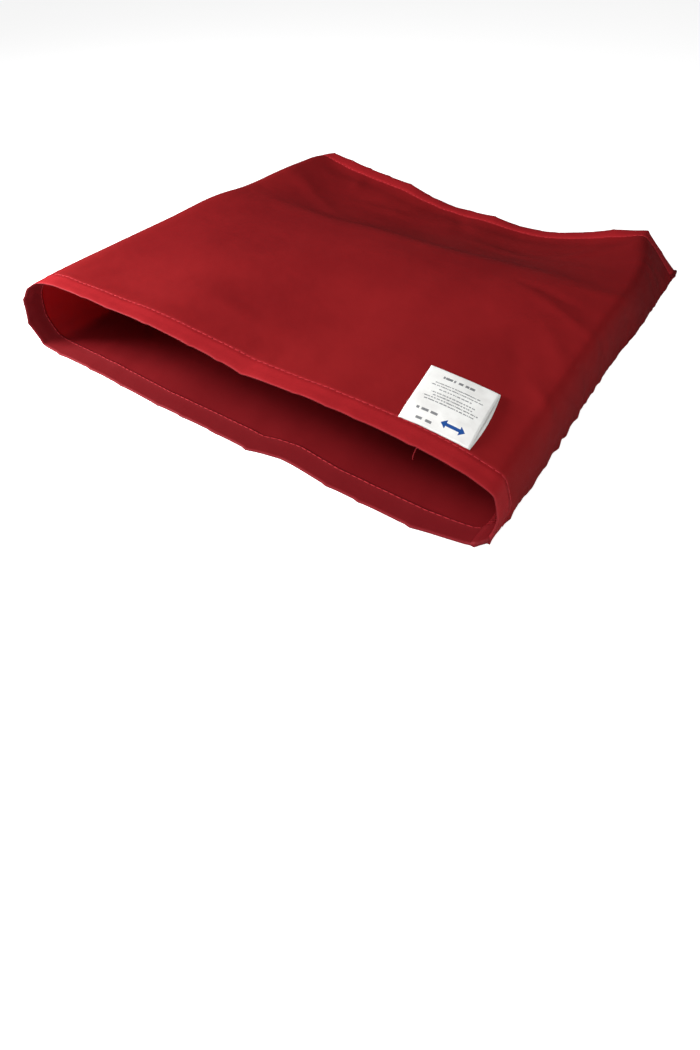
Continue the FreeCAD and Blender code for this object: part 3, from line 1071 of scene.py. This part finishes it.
@dataclass
class SideSeam:
    """The seam's own row of stitches and the overlock over its raw edges, inside the tube."""
    cloth: ClothSurface
    allowance: float = 10.0
    pitch: float = 4.0
    overlock: float = 4.2
    loop_pitch: float = 2.6
    hem: float = 18.5
    line: float = 1.6          # from the seam's fold to its stitches
    lift: float = 1.0          # of the threads over the middle of the cloth

    def row(self, material: bpy.types.Material) -> bpy.types.Object:
        """The row of stitches that closes the tube."""
        form = self.cloth.form
        v = np.arange(self.hem, form.length - self.hem, self.pitch)
        u = np.full_like(v, form.girth - self.line)
        ends = self.cloth.at(u, v, self.lift - 0.05)
        normals = self.cloth.read(self.cloth.inward, u, v)
        row = StitchedRow(0.24)
        for start, end, normal in zip(ends, ends[1:], normals):
            row.add(start, end, normal)
        return row.finish("side_seam_stitching", material, ("side_seam_stitching",))

    def edge(self, material: bpy.types.Material) -> bpy.types.Object:
        """The overlock: slanting loops over the raw edges, and a chain along them."""
        form = self.cloth.form
        v = np.arange(self.hem, form.length - self.hem - self.loop_pitch, self.loop_pitch)
        near = self.cloth.at(form.girth - self.allowance + self.overlock, v, self.lift)
        far = self.cloth.at(form.girth - self.allowance - 0.3, v + self.loop_pitch * 0.5, self.lift)
        normals = self.cloth.read(self.cloth.inward, np.full_like(v, form.girth - self.allowance), v)
        row = StitchedRow(0.2)
        for a, b, following, normal in zip(near, far, near[1:], normals):
            row.add(a, b, normal)
            row.add(b, following, normal)
        return row.finish("side_seam_overlock", material, ("side_seam_overlock",))


@dataclass
class Label:
    """A folded tape label, both ends caught under the front hem's stitches."""
    cloth: ClothSurface
    hinge_m: Vector
    width: float = 50.0
    length: float = 59.0
    loop: float = 0.8
    tail: float = 3.0
    turn: float = -0.045       # sewn a little askew
    thickness: float = 0.16

    def path(self, walked: Array) -> tuple[Array, Array]:
        """Distance behind the hinge and height over it.

        Args:
            walked: millimetres along the tape from its lower end.

        Returns:
            The two distances in millimetres.
        """
        straight = self.length - self.loop
        arc = math.pi * self.loop
        lower = np.clip(walked - self.tail, 0, straight)
        turned = np.clip((walked - self.tail - straight) / arc, 0, 1) * math.pi
        upper = np.clip(walked - self.tail - straight - arc, 0, straight + self.tail)
        first_tail = np.maximum(self.tail - walked, 0)
        behind = lower + self.loop * np.sin(turned) - upper
        height = self.loop * (1 - np.cos(turned)) - 0.2 * ease(first_tail / 0.6) - 1.3 * ease(-behind / 0.6)
        return np.abs(behind) + first_tail, height

    def place(self, a: Array, b: Array) -> Array:
        """Where the flat tape's places lie: on the cloth, a little open towards the seam side.

        Args:
            a: millimetres across the tape.
            b: millimetres along it.

        Returns:
            The places in metres.
        """
        behind, height = self.path(b)
        share = np.clip(behind / self.length, 0, 1)
        side = a / self.width
        upper = ease((height - 0.5 * self.loop) / self.loop)
        x = self.hinge_m.x / MM + a - self.width / 2 + self.turn * behind - 2.0 * share ** 2 * (1 - side)
        x += (1 - upper) * 1.8 * np.sin(math.pi * share) * side
        y = self.hinge_m.y / MM + behind - self.turn * a
        open_height = 0.35 + height * (0.2 + 0.8 * ease(behind / 16.0))
        puff = upper * (1.1 * np.sin(math.pi * share) * (0.35 + 0.65 * ease(side))
                        + 0.3 * share * ease(side * 1.5 - 0.5))
        curl = share ** 2 * (0.5 * ease(1 - side * 2.5) + 0.2 * ease(side * 3 - 2))
        ground = self.cloth.top_height(x, y)
        return np.stack([x, y, ground + open_height + puff + curl], -1) * MM

    def build(self, material: bpy.types.Material) -> bpy.types.Object:
        """Makes the tape, laid out from the hinge at its sewn ends."""
        straight = self.length - self.loop
        arc = math.pi * self.loop
        total = 2 * straight + arc + 2 * self.tail
        lead = np.linspace(0, self.tail + straight, 40)
        turn = self.tail + straight + np.linspace(0, 1, 9)[1:] * arc
        rest = np.linspace(turn[-1], total, 40)[1:]
        rows = np.concatenate([lead, turn, rest])
        across = np.linspace(0, self.width, 27)
        piece = sheet_from_lines("label_tape", across, rows, self.place, material, self.thickness)
        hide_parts("label_flap", "label_anchor")
        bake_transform(piece)
        return piece

    def stitches(self, material: bpy.types.Material, pitch: float = 5.0) -> bpy.types.Object:
        """The stitches that catch both ends of the tape, right at its front edge."""
        row = StitchedRow(0.26)
        x = self.hinge_m.x / MM + np.linspace(-0.5, 0.5, round(self.width / pitch) + 1) * self.width
        y = self.hinge_m.y / MM - 0.35 - self.turn * (x - x[0])
        places = np.stack([x, y, self.cloth.top_height(x, y) + 0.4], -1) * MM
        for start, end in zip(places, places[1:]):
            row.add(start, end, np.array([0, 0, 1.0]))
        piece = row.gather("label_stitching", material, ("label_stitching",))
        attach(piece, "upper_layer")
        return piece


# ---------------------------------------------------------------- the studio

@dataclass(frozen=True)
class Lamp:
    """A soft square lamp that points at a place."""
    name: str
    place: tuple[float, float, float]
    aim: tuple[float, float, float]
    size: float
    power: float

    def build(self) -> None:
        """Sets it up."""
        light = bpy.data.lights.new(self.name, "AREA")
        light.shape, light.size, light.energy = "SQUARE", self.size, self.power
        lamp = bpy.data.objects.new(self.name, light)
        lamp.location = self.place
        lamp.rotation_euler = (Vector(self.aim) - Vector(self.place)).to_track_quat("-Z", "Y").to_euler()
        bpy.context.scene.collection.objects.link(lamp)


@dataclass
class Studio:
    """Pale floor, soft lights and the camera."""
    camera_m: tuple[float, float, float] = (0.2848, -0.5202, 0.3488)
    tilt_deg: float = 55.9
    turn_deg: float = 31.38
    lens: float = 23.91
    rise: float = -1 / 6
    front_light: float = 0.40
    back_light: float = 0.0
    glossy_world: float = 0.08
    floor_glow: float = 0.75
    lamps: tuple[Lamp, ...] = (
        Lamp("key", (-0.64, -0.45, 0.45), (-0.04, -0.05, 0.04), 0.25, 11.4),
        Lamp("softbox", (0.10, -0.68, 1.12), (0, 0, 0.03), 0.7, 6.3),
        Lamp("fill", (0.95, -0.45, 0.30), (-0.1, -0.1, 0.03), 0.4, 2.1),
    )

    def floor(self) -> None:
        """A wide pale floor."""
        bm = bmesh.new()
        bmesh.ops.create_grid(bm, x_segments=1, y_segments=1, size=6.0)
        book = NodeBook("pale_floor", {"Roughness": 0.9, "Specular IOR Level": 0.0})
        book.feed(book.shader.inputs["Base Color"], (0.93, 0.93, 0.93, 1.0))
        seen = book.number("ShaderNodeLightPath", {}, {}, "Is Camera Ray")
        glow = book.node("ShaderNodeEmission", {}, {"Color": (1, 1, 1, 1), "Strength": self.floor_glow})
        none = book.node("ShaderNodeEmission", {}, {"Color": (0, 0, 0, 1), "Strength": 0.0})
        extra = book.node("ShaderNodeMixShader", {}, {0: seen, 1: none.outputs[0], 2: glow.outputs[0]})
        lit = book.node("ShaderNodeAddShader", {}, {0: book.shader.outputs[0], 1: extra.outputs[0]})
        mirrored = book.number("ShaderNodeLightPath", {}, {}, "Is Glossy Ray")
        total = book.node("ShaderNodeMixShader", {}, {0: mirrored * 0.8, 1: lit.outputs[0], 2: none.outputs[0]})
        book.finish_with(total.outputs[0])
        add_piece("studio_floor", bm, book.material)

    def world(self) -> None:
        """Soft surroundings, brightest in front; white to the camera and dim in reflections."""
        world = bpy.data.worlds.new("studio_world")
        world.use_nodes = True
        tree = world.node_tree
        path = tree.nodes.new("ShaderNodeLightPath")
        strengths = {"Is Camera Ray": 1.0, "Is Glossy Ray": self.glossy_world}
        shader = tree.nodes["Background"]
        way = tree.nodes.new("ShaderNodeTexCoord")
        axes = tree.nodes.new("ShaderNodeSeparateXYZ")
        tree.links.new(way.outputs["Generated"], axes.inputs[0])
        fall = tree.nodes.new("ShaderNodeMapRange")
        for name, value in (("From Min", -0.9), ("From Max", 0.5), ("To Min", self.front_light),
                            ("To Max", self.back_light)):
            fall.inputs[name].default_value = value
        tree.links.new(axes.outputs["Y"], fall.inputs["Value"])
        shader.inputs["Color"].default_value = (1, 1, 1, 1)
        tree.links.new(fall.outputs[0], shader.inputs["Strength"])
        for ray, strength in reversed(strengths.items()):
            seen = tree.nodes.new("ShaderNodeBackground")
            seen.inputs["Strength"].default_value = strength
            seen.inputs["Color"].default_value = (1, 1, 1, 1)
            mix = tree.nodes.new("ShaderNodeMixShader")
            tree.links.new(path.outputs[ray], mix.inputs[0])
            tree.links.new(shader.outputs[0], mix.inputs[1])
            tree.links.new(seen.outputs[0], mix.inputs[2])
            shader = mix
        tree.links.new(shader.outputs[0], tree.nodes["World Output"].inputs[0])
        bpy.context.scene.world = world

    def build(self) -> None:
        """Sets up the lot."""
        self.floor()
        self.world()
        for lamp in self.lamps:
            lamp.build()
        data = bpy.data.cameras.new("camera")
        data.lens, data.sensor_width, data.shift_y = self.lens, 36.0, self.rise
        data.clip_start = 0.01
        camera = bpy.data.objects.new("camera", data)
        camera.location = self.camera_m
        camera.rotation_euler = (math.radians(self.tilt_deg), 0, math.radians(self.turn_deg))
        bpy.context.scene.collection.objects.link(camera)
        bpy.context.scene.camera = camera
        bpy.context.scene.view_settings.view_transform = "Standard"


def main() -> None:
    """Builds the whole sheet and its studio."""
    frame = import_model()
    form = TubeForm()
    cloth = ClothSurface(form)
    nylon, thread, tape = CoatedNylon().material(), SewingThread().material(), SatinTape().material()
    # a darker copy of the nylon for the faces inside the tube: painted shade, as the inside of the tube lies in
    # shade
    shaded_inner_nylon = CoatedNylon(name="nylon_inner_face", body=tint(130, 25, 30), deep=tint(115, 20, 25)).material()
    panel = Panel(cloth).build(nylon, shaded_inner_nylon)
    lean_with_layers(panel)
    for mouth in Mouth:
        HemStitching(cloth, mouth).build(thread)
    seam = SideSeam(cloth)
    seam.row(thread)
    seam.edge(thread)
    joint = next(j for j in frame["joints"] if j["name"] == "label_flip")
    label = Label(cloth, Vector(joint["pos_m"]))
    label.build(tape)
    label.stitches(thread)
    Studio().build()


if __name__ == "__main__":
    logging.basicConfig(level=logging.INFO, format="%(message)s")
    main()
